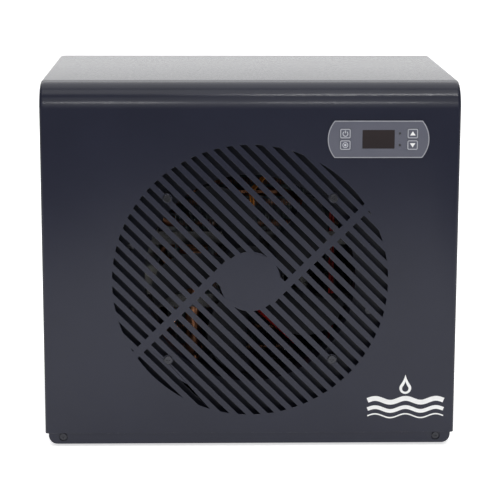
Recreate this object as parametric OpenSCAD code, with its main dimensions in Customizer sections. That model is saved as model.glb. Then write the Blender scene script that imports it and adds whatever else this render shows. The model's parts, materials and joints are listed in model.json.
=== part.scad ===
// Compact swimming-pool heat pump: sheet-metal cabinet with a swept front-and-top cover,
// axial fan behind a diagonal-slot grille, rotary compressor, finned evaporator at the back
// and a titanium water exchanger with two hose spigots.
// Millimetres. +Z up, front faces -Y. The origin is the middle of the underside of the feet,
// centred on the whole length from the grille screws to the ends of the spigots.

/* [Cabinet] */
// Overall width of the cover
body_w = 430; // [426:1:436]
// Height of the cabinet above the base pan's underside
body_h = 381; // [378:1:386]
// Depth from the front face to the rear bend of the cover
body_d = 300; // [298:1:304]
// Sheet thickness
sheet_t = 1.2; // [1.0:0.1:1.4]
// Outside radius of the bend between front and top
front_bend_r = 28; // [24:1:30]
// Outside radius of the bend at the back of the top
rear_bend_r = 16; // [15:1:18]
// Outside radius along the side edges of the cover
edge_r = 4; // [3:0.5:5]
// Depth of the cover's side flanges
flange = 14; // [12:0.5:14.5]
// Height of the base pan visible below the cover
base_show = 11.7; // [10:0.1:13]
// Height of the rubber feet
foot_h = 3; // [2:0.5:5]

/* [Grille] */
// Height of the grille's centre above the feet's underside
grille_z = 177.6; // [174:0.2:180]
// Radius of the slotted circle
grille_r = 143; // [140:1:145]
// Radius of the plain disc in the middle
disc_r = 31.5; // [28:0.5:34]
// Distance from slot to slot
slot_pitch = 11.23; // [11:0.01:11.4]
// Width of each slot
slot_w = 5.4; // [4.6:0.1:6]
// Width of the two diagonal webs
web_w = 8.2; // [6:0.2:10]
// Distance of each web's middle from the centre
web_off = 29.5; // [27:0.5:31]
// Slots on each side of the centre line
slots_half = 13; // [13:1:13]

/* [Fan] */
// Height of the fan's axis
fan_z = 178; // [176:0.5:180]
// Radius of the opening in the shroud
orifice_r = 110; // [109:0.5:112]
// Radius of the fan over its blade tips
fan_r = 105; // [100:0.5:106]
// Number of blades
blades = 5; // [3:1:6]
// Radius of the fan's hub
hub_r = 34; // [30:0.5:36]

/* [Controller] */
// Middle of the controller, across
ctl_x = 130.6; // [128:0.2:132]
// Middle of the controller, above the feet's underside
ctl_z = 326.2; // [325:0.2:328]
// Width of the controller's rim
ctl_w = 104; // [102:1:106]
// Height of the controller's rim
ctl_h = 38.4; // [37:0.2:40]
// Travel of each key
key_travel = 0.4; // [0.2:0.1:0.5]

/* [Water side] */
// Outside radius of the hose spigots
spigot_r = 19; // [18:0.5:20]
// Bore radius of the hose spigots
spigot_bore = 15.5; // [14:0.5:16]
// Height of the lower (inlet) spigot
inlet_z = 74; // [72:1:78]
// Height of the upper (outlet) spigot
outlet_z = 222; // [216:1:226]
// Height of the spigots behind the cabinet
spigot_out = 42; // [38:1:46]

/* [Hidden] */
$fn = 48;

t = sheet_t;
hw = body_w / 2;
head = 1.8;                       // height of the pan-head screws
yF = -(body_d + spigot_out) / 2 + head / 2;   // front face
yB = yF + body_d;                 // rear face of the cover
yEnd = yB + spigot_out;           // end of the spigots
zb = foot_h;                      // underside of the base pan
zs = zb + base_show;              // lower edge of the cover
zt = zb + body_h;                 // top of the cabinet
xi = hw - t;                      // inside of the cover's flanges
sx = xi - 0.1;                    // outer face of the side panels
bx = sx - t - 1.2;                // half width of the base pan
yR = yB - t - 0.2;                // outer face of the rear panel
steel = [0.17, 0.18, 0.21];
copper = [0.72, 0.42, 0.28];
black = [0.06, 0.06, 0.07];

// ---------- sweeps ----------
function unit(v) = v / norm(v);
// A route with its corners rounded to radius r, in n steps each.
function bend_pts(a, b, c, r, n) = let (
        u = unit(a - b), w = unit(c - b), ang = acos(max(-1, min(1, u * w))),
        cut = r / tan(ang / 2), ctr = b + unit(u + w) * (r / sin(ang / 2)),
        s = b + u * cut, e = b + w * cut, ax = unit(cross(s - ctr, e - ctr)), sweep = 180 - ang)
    [for (i = [0 : n]) let (q = sweep * i / n, d = s - ctr) ctr + d * cos(q) + cross(ax, d) * sin(q)];
function route(p, r, n = 4) = [p[0], each [for (i = [1 : len(p) - 2]) each bend_pts(p[i - 1], p[i], p[i + 1], r, n)], p[len(p) - 1]];
function tangent(p, i) = i == 0 ? unit(p[1] - p[0]) : i == len(p) - 1 ? unit(p[i] - p[i - 1])
    : unit(unit(p[i] - p[i - 1]) + unit(p[i + 1] - p[i]));
function side0(d) = unit(cross(d, abs(d[2]) < 0.8 ? [0, 0, 1] : [1, 0, 0]));
function frames(p, i = 0, n = undef) = let (d = tangent(p, i),
        m = n == undef ? side0(d) : unit(n - d * (n * d)))
    i == len(p) - 1 ? [[d, m]] : concat([[d, m]], frames(p, i + 1, m));
module tube(p, r, s = 10) {
    f = frames(p);
    k = len(p);
    pts = [for (i = [0 : k - 1]) let (m = f[i][1], b = cross(f[i][0], m))
        for (j = [0 : s - 1]) p[i] + r * (m * cos(360 * j / s) + b * sin(360 * j / s))];
    polyhedron(pts, concat([[for (j = [0 : s - 1]) j]],
        [for (i = [0 : k - 2], j = [0 : s - 1]) each let (a = i * s + j, b = i * s + (j + 1) % s)
            [[a, b + s, b], [a, a + s, b + s]]],
        [[for (j = [s - 1 : -1 : 0]) (k - 1) * s + j]]));
}

// ---------- helpers ----------
module box(x0, x1, y0, y1, z0, z1) translate([x0, y0, z0]) cube([x1 - x0, y1 - y0, z1 - z0]);
// cylinder along +Y from y0 to y1
module ycyl(x, z, r, y0, y1) translate([x, y0, z]) rotate([-90, 0, 0]) cylinder(r = r, h = y1 - y0);
// 2D drawing in X and Z, made solid from y0 to y1
module yslab(y0, y1) translate([0, y1, 0]) rotate([90, 0, 0]) linear_extrude(y1 - y0) children();
// 2D drawing in Y and Z, made solid from x0 to x1
module xslab(x0, x1) translate([x0, 0, 0]) rotate([90, 0, 90]) linear_extrude(x1 - x0) children();
module rsquare(x0, x1, y0, y1, r) {
    translate([x0 + r, y0]) square([x1 - x0 - 2 * r, y1 - y0]);
    translate([x0, y0 + r]) square([x1 - x0, y1 - y0 - 2 * r]);
    for (x = [x0 + r, x1 - r], y = [y0 + r, y1 - r]) translate([x, y]) circle(r);
}
// pan-head screw along +Y, its head's seat on y
module pan_screw(x, z, y, len, rh = 4, rs = 1.9) {
    ycyl(x, z, rs, y, y + len);
    difference() {
        ycyl(x, z, rh, y - 1.8, y);
        for (a = [0, 90]) translate([x, y - 1.5, z]) rotate([0, a, 0]) cube([rh, 1.2, 0.9], center = true);
    }
}
module hexnut(r, h) cylinder(r = r, h = h, $fn = 6);

// ---------- cabinet ----------
// Cross-section of the cover: a wide channel, its outside at y = 0 and its flanges towards +y
module channel() {
    difference() {
        union() {
            translate([-hw + edge_r, 0]) square([body_w - 2 * edge_r, edge_r]);
            translate([-hw, edge_r]) square([body_w, flange - edge_r]);
            for (s = [-1, 1]) translate([s * (hw - edge_r), edge_r]) circle(edge_r);
        }
        translate([-hw + edge_r, t]) square([body_w - 2 * edge_r, edge_r - t]);
        translate([-hw + t, edge_r]) square([body_w - 2 * t, flange]);
        for (s = [-1, 1]) translate([s * (hw - edge_r), edge_r]) circle(edge_r - t);
    }
}
// Quarter turn of the channel about a line along X
module channel_bend(r) rotate([0, 90, 0]) rotate([0, 0, 0]) rotate_extrude(angle = 90)
    translate([r, 0]) rotate(90) channel();
// One half of the slots: those on the web's far side from the disc, and those that run to the disc
module slot_rows() {
    for (k = [-slots_half : slots_half - 1]) {
        v = (k + 0.5) * slot_pitch;
        c = v < 0 ? -web_off : web_off;
        for (s = [[-grille_r - 5, c - web_w / 2], [c + web_w / 2, grille_r + 5]])
            translate([s[0], v - slot_w / 2]) square([s[1] - s[0], slot_w]);
    }
}
module grille_slots() translate([0, grille_z]) rotate(-45) difference() {
    intersection() {
        slot_rows();
        circle(grille_r);
    }
    circle(disc_r);
    for (a = [0, 180]) rotate(a) translate([10, 0]) square([web_off - 10, 21]);
}
shroud_fix = [for (x = [-85.4, 85.4], z = [-85.4, 85.4]) [x, grille_z + 2.1 + z]];
cut_w = 94.4;
cut_h = 33;
module front_top_cover() color(steel) {
    zf = zt - front_bend_r;
    yf = yF + front_bend_r;
    yr = yB - rear_bend_r;
    zr = zt - rear_bend_r;
    difference() {
        translate([0, yF, zs]) linear_extrude(zf - zs) channel();
        difference() {
            yslab(yF - 1, yF + t + 0.5) grille_slots();
            for (p = shroud_fix) ycyl(p[0], p[1], 5.2, yF - 2, yF + t + 2);
        }
        for (p = shroud_fix) ycyl(p[0], p[1], 2.2, yF - 2, yF + t + 2);
        box(ctl_x - cut_w / 2, ctl_x + cut_w / 2, yF - 1, yF + t + 1, ctl_z - cut_h / 2, ctl_z + cut_h / 2);
    }
    translate([0, yf, zf]) rotate([0, 90, 0]) rotate([0, 0, 180]) rotate_extrude(angle = 90) bend_section(front_bend_r);
    translate([0, yr, zt]) rotate([90, 0, 0]) linear_extrude(yr - yf) mirror([0, 1]) channel();
    translate([0, yr, zr]) rotate([0, 90, 0]) rotate([0, 0, 90]) rotate_extrude(angle = 90) bend_section(rear_bend_r);
    difference() {
        translate([0, yB, zr - 10]) mirror([0, 1, 0]) linear_extrude(10) channel();
        for (x = tail_fix) ycyl(x, zr - 5, 2.1, yB - 5, yB + 1);
    }
}
// the channel laid out for rotate_extrude: radius along x, width along y
module bend_section(r) translate([r, 0]) rotate(90) channel();

module pan_profile(g) {
    r = 9 - g;
    translate([-bx + 9, zb + g]) square([2 * bx - 18, 20]);
    translate([-bx + g, zb + 9]) square([2 * bx - 2 * g, 15]);
    for (s = [-1, 1]) translate([s * (bx - 9), zb + 9]) circle(r);
}
drain = [-40, -60];
dimple = 2;                    // depth of the dimples in the pan's front
dimple_r = 4.6;
module base_pan() color(steel) {
    y0 = yF + t + 0.2;
    y1 = yR - t - 0.3;
    difference() {
        union() {
            difference() {
                yslab(y0, y1) pan_profile(0);
                yslab(y0 + t, y1 - t) translate([0, 0]) union() {
                    pan_profile(t);
                    translate([-bx + t, zb + 10]) square([2 * bx - 2 * t, 40]);
                }
            }
            // stamped ribs and the drain collar
            for (x = [-60, 60]) box(x - 12, x + 12, y0 + 30, y1 - 70, zb + t - 0.2, zb + t + 2);
            translate([drain[0], drain[1], zb]) cylinder(r = 11, h = 5);
            // dimples that the lower screws' heads sit in
            for (s = [-1, 1]) ycyl(s * 196, zb + 7.5, dimple_r + 1, y0 + t / 2, y0 + dimple + t);
        }
        translate([drain[0], drain[1], zb - 1]) cylinder(r = 8.5, h = 10);
        for (s = [-1, 1]) ycyl(s * 196, zb + 7.5, dimple_r, y0 - 1, y0 + dimple);
        for (s = [-1, 1]) ycyl(s * 196, zb + 7.5, 2.2, y0 - 1, y0 + dimple + t + 1);
        for (p = foot_pos) translate([p[0], p[1], zb - 1]) cylinder(r = 3.2, h = 4);
    }
}
foot_pos = [for (x = [-178, 178], y = [yF + 34, yB - 34]) [x, y]];
module rubber_feet() color(black) for (p = foot_pos) translate([p[0], p[1], 0]) {
    cylinder(r = 13, h = zb);
    translate([0, 0, zb - 0.5]) cylinder(r = 3, h = t + 0.5);
    translate([0, 0, zb + t]) cylinder(r = 5, h = 2.5);
}
module cover_clips() color([0.6, 0.6, 0.62]) for (s = [-1, 1]) {
    difference() {
        union() {
            box(s * 196 - 9, s * 196 + 9, yF + t, yF + 2 * t, zs + 14, zs + 30);
            box(s * 196 - 9, s * 196 + 9, yF + t, yF + 3 * t + 0.3 + dimple, zs + 12.8, zs + 14);
            box(s * 196 - 9, s * 196 + 9, yF + 2 * t + 0.3 + dimple, yF + 3 * t + 0.3 + dimple, zb + 2, zs + 14);
        }
        ycyl(s * 196, zb + 7.5, 1.95, yF, yF + 10);
    }
}

handle_y = yF + 150;
handle_z = 300;
module side_outline() {
    g = edge_r + 0.2;
    translate([yF + front_bend_r, zs]) square([body_d - front_bend_r - rear_bend_r, zt - zs - g]);
    translate([yF + g, zs]) square([body_d - 2 * g, zt - front_bend_r - zs]);
    translate([yF + front_bend_r, zt - front_bend_r]) circle(front_bend_r - g);
    translate([yB - rear_bend_r, zt - rear_bend_r]) circle(rear_bend_r - g);
    translate([yB - 60, zt - 60]) square([60 - g, 60 - rear_bend_r]);
}
module side_panel_blank() {
    xslab(sx - t, sx) difference() {
        side_outline();
        translate([handle_y - 52, handle_z - 16]) square([104, 32]);
    }
    // rear flange that the rear panel is screwed to
    difference() {
        union() {
            box(sx - 16, sx, yR - 2 * t - 0.1, yR - t - 0.1, zb + 25, zt - rear_bend_r - 12);
            box(sx - t, sx, yB - edge_r - 2, yR - t - 0.1, zs, zt - rear_bend_r - 12);
        }
        for (p = rear_fix) if (p[0] > 0) ycyl(p[0], p[1], 1.95, yR - 10, yR);
    }
}
module left_side_panel() color(steel) mirror([1, 0, 0]) side_panel_blank();
module right_side_panel() color(steel) difference() {
    side_panel_blank();
    for (i = [0 : 6]) xslab(sx - 5, sx + 5) rsquare(yF + 186, yF + 256, 96 + 12 * i, 100.6 + 12 * i, 2.2);
    xslab(sx - 5, sx + 5) rsquare(yF + 60, yF + 130, 96, 166, 3);
    for (z = [91, 171]) translate([sx - 5, yF + 95, z]) rotate([0, 90, 0]) cylinder(r = 1.6, h = 10);
}
module terminal_cover() color(steel) xslab(sx, sx + 1.2) difference() {
    rsquare(yF + 50, yF + 140, 86, 176, 5);
    for (z = term_fix) translate([yF + 95, z]) circle(3);
}
term_fix = [91, 171];
// Recessed grip: a moulded pocket with a rim
module handle_cup() color(black) difference() {
    union() {
        xslab(sx, sx + 1.2) rsquare(handle_y - 58, handle_y + 58, handle_z - 22, handle_z + 22, 8);
        xslab(sx - 24, sx + 0.6) rsquare(handle_y - 51.8, handle_y + 51.8, handle_z - 15.8, handle_z + 15.8, 5);
    }
    xslab(sx - 22, sx + 2) rsquare(handle_y - 49.6, handle_y + 49.6, handle_z - 13.6, handle_z + 13.6, 4);
}
module right_handle_cup() handle_cup();
module left_handle_cup() mirror([1, 0, 0]) handle_cup();

coil_x0 = -82;
coil_x1 = 190;
coil_z0 = 27;
coil_z1 = 305;
px = -150;                     // spigots' and exchanger's place across
gland = [120, 340];
rear_fix = [for (p = [[-205, 40], [205, 40], [-205, 200], [205, 200], [-205, 345], [205, 345]]) p];
module rear_panel() color(steel) difference() {
    yslab(yR - t, yR) difference() {
        rsquare(-sx + 2.6, sx - 2.6, zs + 0.5, zt - rear_bend_r - 2, 2);
        rsquare(coil_x0 + 8, coil_x1 - 8, coil_z0 + 12, coil_z1 - 8, 8);
        for (z = [inlet_z, outlet_z]) translate([px, z]) circle(spigot_r + 3.2);
        translate(gland) circle(8.2);
        for (p = rear_fix) translate(p) circle(2.1);
        for (x = tail_fix) translate([x, zt - rear_bend_r - 5]) circle(2.1);
    }
}
tail_fix = [-160, 0, 160];
module case_screws() color([0.5, 0.5, 0.52]) {
    for (s = [-1, 1]) pan_screw(s * 196, zb + 7.5, yF + t + 0.2 + dimple, 7, 3.4, 1.9);
    for (p = rear_fix) mirror([0, 1, 0]) pan_screw(p[0], p[1], -yR, 7, 3.6, 1.9);
    for (x = tail_fix) mirror([0, 1, 0]) pan_screw(x, zt - rear_bend_r - 5, -yB, 7, 3.6, 1.9);
    for (z = term_fix) translate([sx - 7, yF + 95, z]) rotate([0, 90, 0]) {
        cylinder(r = 1.5, h = 8);
        difference() {
            translate([0, 0, 7]) cylinder(r = 2.95, h = 1.2);
            translate([-0.4, -2, 7.7]) cube([0.8, 4, 1]);
        }
    }
}
module rear_coil_guard() color(black) {
    g0 = coil_x0 + 2;
    g1 = coil_x1 - 2;
    z0 = coil_z0 + 6;
    z1 = coil_z1 - 2;
    difference() {
        yslab(yR, yR + 1.6) difference() {
            rsquare(g0, g1, z0, z1, 10);
            rsquare(g0 + 8, g1 - 8, z0 + 8, z1 - 8, 6);
        }
    }
    n = 18;
    for (i = [1 : n - 1]) box(g0 + (g1 - g0) * i / n - 0.9, g0 + (g1 - g0) * i / n + 0.9, yR + 0.1, yR + 1.9, z0 + 4, z1 - 4);
    m = 7;
    for (i = [1 : m - 1]) box(g0 + 4, g1 - 4, yR + 1.2, yR + 3, z0 + (z1 - z0) * i / m - 0.9, z0 + (z1 - z0) * i / m + 0.9);
}

// ---------- fan ----------
ys = yF + 12;                  // front face of the shroud
module fan_shroud() color(steel) difference() {
    union() {
        ycyl(0, fan_z, 149, ys, ys + t);
        ycyl(0, fan_z, orifice_r + 1.5, ys, ys + 28);
    }
    ycyl(0, fan_z, orifice_r, ys - 1, ys + 30);
    for (p = shroud_fix) ycyl(p[0], p[1], 2.2, ys - 1, ys + 3);
    for (x = [-124, 124], z = [-34, 34]) ycyl(x, fan_z + z, 2.2, ys - 1, ys + 3);
}
module shroud_standoffs() color([0.55, 0.55, 0.57]) for (p = shroud_fix) difference() {
    ycyl(p[0], p[1], 5, yF + t, ys);
    ycyl(p[0], p[1], 2.2, yF, ys + 1);
}
module shroud_screws() color(black) for (p = shroud_fix) pan_screw(p[0], p[1], yF, 18, 4.4, 2.1);
ym = ys + 48;                  // front face of the motor bracket's rails
module fan_motor_bracket() color([0.62, 0.63, 0.65]) for (z = [-34, 34]) difference() {
    union() {
        box(-131, 131, ym, ym + 2, fan_z + z - 7, fan_z + z + 7);
        for (x = [-131, 129]) box(x, x + 2, ys + t + 2, ym + 2, fan_z + z - 7, fan_z + z + 7);
        for (s = [-1, 1]) box(s * 124 - 7, s * 124 + 7, ys + t, ys + t + 2, fan_z + z - 7, fan_z + z + 7);
    }
    for (s = [-1, 1]) ycyl(s * 124, fan_z + z, 2.2, ys, ys + 8);
    for (s = [-1, 1]) ycyl(s * 18, fan_z + z, 2.2, ym - 1, ym + 4);
}
module fan_motor() color([0.2, 0.2, 0.22]) difference() {
    union() {
        ycyl(0, fan_z, 38, ym + 2, ym + 46);
        ycyl(0, fan_z, 12, ym - 3, ym + 50);
        for (x = [-18, 18], z = [-34, 34]) ycyl(x, fan_z + z, 6, ym + 2, ym + 8);
        for (a = [0 : 30 : 330]) translate([0, ym + 12, fan_z]) rotate([0, a, 0]) translate([37, 0, -1]) cube([4, 26, 2]);
    }
    ycyl(0, fan_z, 4.06, ym - 5, ym + 44);
    for (x = [-18, 18], z = [-34, 34]) ycyl(x, fan_z + z, 1.95, ym, ym + 7);
}
module fan_motor_screws() color([0.6, 0.6, 0.62]) {
    for (x = [-18, 18], z = [-34, 34]) pan_screw(x, fan_z + z, ym, 7, 3.4, 1.85);
    for (x = [-124, 124], z = [-34, 34]) pan_screw(x, fan_z + z, ys, 8, 3.6, 2);
}
module fan_shaft() color([0.75, 0.75, 0.77]) ycyl(0, fan_z, 4, ys + 5, ym + 43);
// A blade as a swept, pitched plate: sections from root to tip
function blade_pts(r, a0, yc, pitch, chord, th) = [for (q = [[-0.5, -1], [0, -1.15], [0.5, -0.6], [0.5, 0.6], [0, 1.15], [-0.5, 1]])
    let (s = q[0] * chord, n = q[1] * th / 2,
         y = yc + s * sin(pitch) + n * cos(pitch), c = s * cos(pitch) - n * sin(pitch), a = a0 + c / r * 57.2958)
    [r * cos(a), y, r * sin(a)]];
module blade() {
    rs = [30, 42, 56, 70, 84, 96, fan_r];
    p = [for (i = [0 : 6]) each blade_pts(rs[i], 1.2 * i * i / 2, 0, 34 - 2 * i, 36 + 7.2 * i - 0.25 * i * i * i, i == 6 ? 1.6 : 3.2 - 0.25 * i)];
    s = 6;
    polyhedron(p, concat([[for (j = [s - 1 : -1 : 0]) j]],
        [for (i = [0 : 5], j = [0 : s - 1]) each let (a = i * s + j, b = i * s + (j + 1) % s) [[a, b, b + s], [a, b + s, a + s]]],
        [[for (j = [0 : s - 1]) 6 * s + j]]));
}
module fan_impeller() color([0.08, 0.08, 0.09]) {
    yh = ys + 8;
    translate([0, 0, fan_z]) for (i = [0 : blades - 1]) rotate([0, 360 * i / blades + 44, 0]) translate([0, yh + 14, 0]) blade();
    difference() {
        union() {
            difference() {
                ycyl(0, fan_z, hub_r, yh, yh + 29);
                ycyl(0, fan_z, hub_r - 3, yh + 3, yh + 30);
            }
            ycyl(0, fan_z, 9, yh + 2.5, yh + 29);
            for (a = [0 : 60 : 300]) translate([0, yh + 2.5, fan_z]) rotate([0, a, 0]) translate([8, 0, -1]) cube([hub_r - 10, 18, 2]);
        }
        ycyl(0, fan_z, 4.05, yh - 1, yh + 30);
    }
}
module fan_hub_nut() color([0.7, 0.7, 0.72]) translate([0, ys + 8, fan_z]) rotate([90, 0, 0]) difference() {
    hexnut(8, 5);
    translate([0, 0, -1]) cylinder(r = 4, h = 4);
}
module fan_motor_lead_red() color("red") for (i = [0, 3])
    tube(route([for (p = [[6, ym + 30, fan_z - 38.4], [7, ym + 30, 129], [58, ym + 30, 83], [94, ym + 44, 48],
        [92, ym + 84, 64], [92, ym + 84, 236], [100, ym + 96, 284], [100, ym + 96, 308]]) p + [i, -i, 0]], 8, 3), 1.3, 8);
module fan_motor_lead_orange() color("orange") for (i = [0, 3])
    tube(route([for (p = [[6, ym + 30, fan_z + 38.4], [5, ym + 30, 258], [26, ym + 34, 280], [100, ym + 86, 290], [100, ym + 92, 308]])
        p + [-i, i, 0]], 8, 3), 1.2, 8);

// ---------- refrigerant side ----------
cx = 150;
cy = yF + 178;
cr = 52;
feet_a = [60, 180, 300];
feet_r = 63;
module compressor_shell() color(black) translate([cx, cy, 0]) difference() {
    compressor_body();
    translate([34, 0, 205.9]) cylinder(r = 4.7, h = 20);
}
module compressor_body() {
    translate([0, 0, 18]) cylinder(r = cr - 6, h = 4);
    translate([0, 0, 22]) cylinder(r1 = cr - 6, r2 = cr, h = 8);
    translate([0, 0, 30]) cylinder(r = cr, h = 166);
    translate([0, 0, 110]) cylinder(r = cr + 1.2, h = 6);
    translate([0, 0, 190]) cylinder(r = cr + 1.5, h = 8);
    translate([0, 0, 198]) cylinder(r1 = cr - 3, r2 = cr - 10, h = 12);
    translate([0, 0, 210]) cylinder(r1 = cr - 10, r2 = 28, h = 10);
}
module compressor_mount_plate() color(black) translate([cx, cy, 15.2]) difference() {
    union() {
        cylinder(r = 40, h = 2.8);
        for (a = feet_a) rotate(a) translate([0, -11, 0]) cube([feet_r, 22, 2.8]);
        for (a = feet_a) rotate(a) translate([feet_r, 0, 0]) cylinder(r = 11, h = 2.8);
    }
    for (a = feet_a) rotate(a) translate([feet_r, 0, -1]) cylinder(r = 6.2, h = 5);
}
module compressor_grommets() color([0.1, 0.1, 0.1]) translate([cx, cy, zb + t]) for (a = feet_a) rotate(a) translate([feet_r, 0, 0])
    difference() {
        union() {
            cylinder(r = 10, h = 11);
            cylinder(r = 6, h = 17);
        }
        translate([0, 0, -1]) cylinder(r = 4.1, h = 20);
    }
module compressor_studs() color([0.7, 0.7, 0.72]) translate([cx, cy, zb + t]) for (a = feet_a) rotate(a) translate([feet_r, 0, 0]) {
    cylinder(r = 4, h = 22);
    translate([0, 0, 17]) cylinder(r = 9, h = 1.4);
    translate([0, 0, 18.4]) hexnut(7, 4);
}
module compressor_accumulator() color(black) translate([cx - 84, cy + 6, 0]) {
    translate([0, 0, 70]) cylinder(r = 23, h = 110);
    translate([0, 0, 180]) cylinder(r1 = 23, r2 = 9, h = 14);
    translate([0, 0, 56]) cylinder(r1 = 9, r2 = 23, h = 14);
    translate([0, -7, 122]) cube([31.9, 14, 26]);
}
module compressor_terminal_cap() color([0.12, 0.12, 0.13]) translate([cx, cy, 224.3]) difference() {
    cylinder(r = 22, h = 20);
    translate([0, 0, -1]) cylinder(r = 20, h = 19);
}
module discharge_pipe() color(copper) tube(route([[cx + 34, cy, 206], [cx + 34, cy, 262], [cx - 60, cy - 44, 262], [-60, cy - 50, 284], [px + 30, ex_y, 284], [px + 30, ex_y, 273.1]], 5, 4), 4.6, 10);
module suction_pipe() color(copper) tube(route([[cx - 84, cy + 6, 194.5], [cx - 84, cy + 6, 232], [cx - 110, yR - 62, 232], [-97, yR - 62, 232], [-97, yR - 62, 290], [-97, rows[0], 290], [coil_x0 - 4.1, rows[0], 290]], 9, 4), 5, 10);
module liquid_pipe() color(copper) tube(route([[px + 30, ex_y, 23.9], [px + 30, ex_y, 12], [-60, ex_y, 12], [-60, ex_y, 60]], 6, 4), 3.2, 10);
module filter_drier() color(copper) translate([-60, ex_y, 60]) {
    cylinder(r1 = 3.2, r2 = 9, h = 10);
    translate([0, 0, 10]) cylinder(r = 9, h = 70);
    translate([0, 0, 80]) cylinder(r1 = 9, r2 = 2, h = 10);
}
// Capillary wound into a small coil: a helix worked out from its turns
module capillary_coil() color(copper) {
    n = 5;
    c = [-60, ex_y + 30, 176];
    hel = [for (i = [0 : n * 12]) let (a = -90 + i * 30) c + [15 * cos(a), 15 * sin(a), 4.6 * i / 12]];
    tail = route([hel[n * 12], [-66, yR - 78, 205], [-108, yR - 44, 214], [-108, rows[1], 232], [-108, rows[1], 290], [coil_x0 - 1, rows[1], 290]], 5, 3);
    tube(concat([[-60, ex_y, 150.4], [-60, ex_y + 2, 168], [-60, ex_y + 8, 174.6]], hel,
        [for (i = [1 : len(tail) - 1]) tail[i]]), 1.6, 8);
}
module high_pressure_switch() color([0.65, 0.55, 0.25]) {
    // where the sloping discharge line passes x = 0, from its two corners
    a = [cx - 60, cy - 44, 262];
    b = [-60, cy - 50, 284];
    q = a + (b - a) * (a[0] / (a[0] - b[0]));
    d = unit(b - a);
    translate(q) difference() {
        union() {
            cylinder(r = 5.5, h = 8);
            translate([0, 0, 8]) cylinder(r = 9, h = 9);
            translate([0, 0, 17]) cylinder(r = 5, h = 5);
        }
        rotate([0, acos(d[2]), atan2(d[1], d[0])]) cylinder(r = 4.75, h = 40, center = true);
    }
}
fy0 = yR - 42;
fy1 = yR - 6;
rows = [yR - 33, yR - 15];
tz = [for (k = [0 : 10]) 40 + 25 * k];
module evaporator_fins() color([0.75, 0.78, 0.8]) difference() {
    n = 44;
    for (i = [0 : n]) translate([coil_x0 + 2 + (coil_x1 - coil_x0 - 4.4) * i / n, fy0, coil_z0]) cube([0.4, fy1 - fy0, coil_z1 - coil_z0]);
    for (y = rows, z = tz) translate([coil_x0, y, z]) rotate([0, 90, 0]) cylinder(r = 4.7, h = coil_x1 - coil_x0);
}
module serpentine(y, r, e) {
    for (k = [0 : 10]) translate([coil_x0 - 4 - e, y, tz[k]]) rotate([0, 90, 0]) cylinder(r = r, h = coil_x1 - coil_x0 + 8 + 2 * e);
    for (k = [0 : 9]) translate([k % 2 == 1 ? coil_x1 + 4 : coil_x0 - 4, y, tz[k] + 12.5]) rotate([90, 0, 0]) rotate([0, 0, k % 2 == 1 ? -90 : 90])
        rotate_extrude(angle = 180) translate([12.5, 0]) circle(r);
}
module crossover(r) translate([coil_x1 + 4, (rows[0] + rows[1]) / 2, tz[0]]) rotate([0, 0, -90])
    rotate_extrude(angle = 180) translate([9, 0]) circle(r);
module evaporator_tubes() color(copper) difference() {
    union() {
        for (y = rows) serpentine(y, 4.6, 0);
        crossover(4.6);
    }
    for (y = rows) serpentine(y, 4.0, 0);
    crossover(4.0);
}
module evaporator_end_plates() color([0.7, 0.72, 0.74]) for (x = [coil_x0, coil_x1 - 1.4]) difference() {
    union() {
        box(x, x + 1.4, fy0 - 2, fy1 + 2, zb + t, coil_z1 + 2);
        box(x == coil_x0 ? x - 10 : x, x == coil_x0 ? x + 1.4 : x + 10, fy1 + 2, fy1 + 3.4, coil_z0, coil_z1 + 2);
    }
    for (y = rows, z = tz) translate([x - 1, y, z]) rotate([0, 90, 0]) cylinder(r = 4.7, h = 5);
}

// ---------- water side ----------
ex_y = yF + 120;
ex_r = 52;
module exchanger_shell() color([0.85, 0.85, 0.83]) difference() {
    union() {
        translate([px, ex_y, 34]) cylinder(r = ex_r, h = 228);
        for (z = [inlet_z, outlet_z]) ycyl(px, z, 24, ex_y + 30, ex_y + 70);
    }
    translate([px, ex_y, 33]) cylinder(r = ex_r - 4, h = 230);
    for (z = [inlet_z, outlet_z]) {
        ycyl(px, z, spigot_bore, ex_y + 20, ex_y + 80);
        ycyl(px, z, spigot_r - 0.9, ex_y + 58, ex_y + 80);
    }
}
module exchanger_end_caps() color([0.2, 0.2, 0.22]) {
    for (e = [[34, 1], [262, -1]]) translate([px, ex_y, e[0]]) mirror([0, 0, e[1] > 0 ? 0 : 1]) difference() {
        union() {
            translate([0, 0, -9]) cylinder(r = ex_r + 5, h = 9);
            cylinder(r = ex_r - 4.2, h = 6);
            difference() {
                cylinder(r = ex_r + 5, h = 8);
                translate([0, 0, -1]) cylinder(r = ex_r + 0.2, h = 12);
            }
        }
        translate([0, 0, 0.1]) cylinder(r = ex_r - 9, h = 8);
        translate([30, 0, -12]) cylinder(r = 5.4, h = 24);
    }
}
module exchanger_titanium_coil() color([0.62, 0.6, 0.58]) {
    n = 6;
    tube(concat([[px + 30, ex_y, 24], [px + 30, ex_y, 50]],
        [for (i = [1 : n * 16 - 1]) let (a = i * 22.5) [px + 30 * cos(a), ex_y + 30 * sin(a), 60 + 176 * i / (n * 16)]],
        [[px + 30, ex_y, 246], [px + 30, ex_y, 273]]), 4.5, 8);
}
module exchanger_bracket() color([0.6, 0.62, 0.64]) {
    for (z = [110, 176]) difference() {
        union() {
            translate([px, ex_y, z]) cylinder(r = ex_r + 1.6, h = 14);
            box(-sx + t + 0.1, px + 10, ex_y - 10, ex_y + 10, z, z + 14);
        }
        translate([px, ex_y, z - 1]) cylinder(r = ex_r + 0.1, h = 16);
    }
    difference() {
        box(px - 30, px + 30, ex_y - 30, ex_y + 30, zb + t, 24.9);
        box(px - 27, px + 27, ex_y - 35, ex_y + 35, zb, 22.9);
        translate([px + 30, ex_y, 15]) cylinder(r = 7, h = 20);
        box(px + 20, px + 35, ex_y - 7, ex_y + 7, zb, 26);
    }
}
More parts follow.
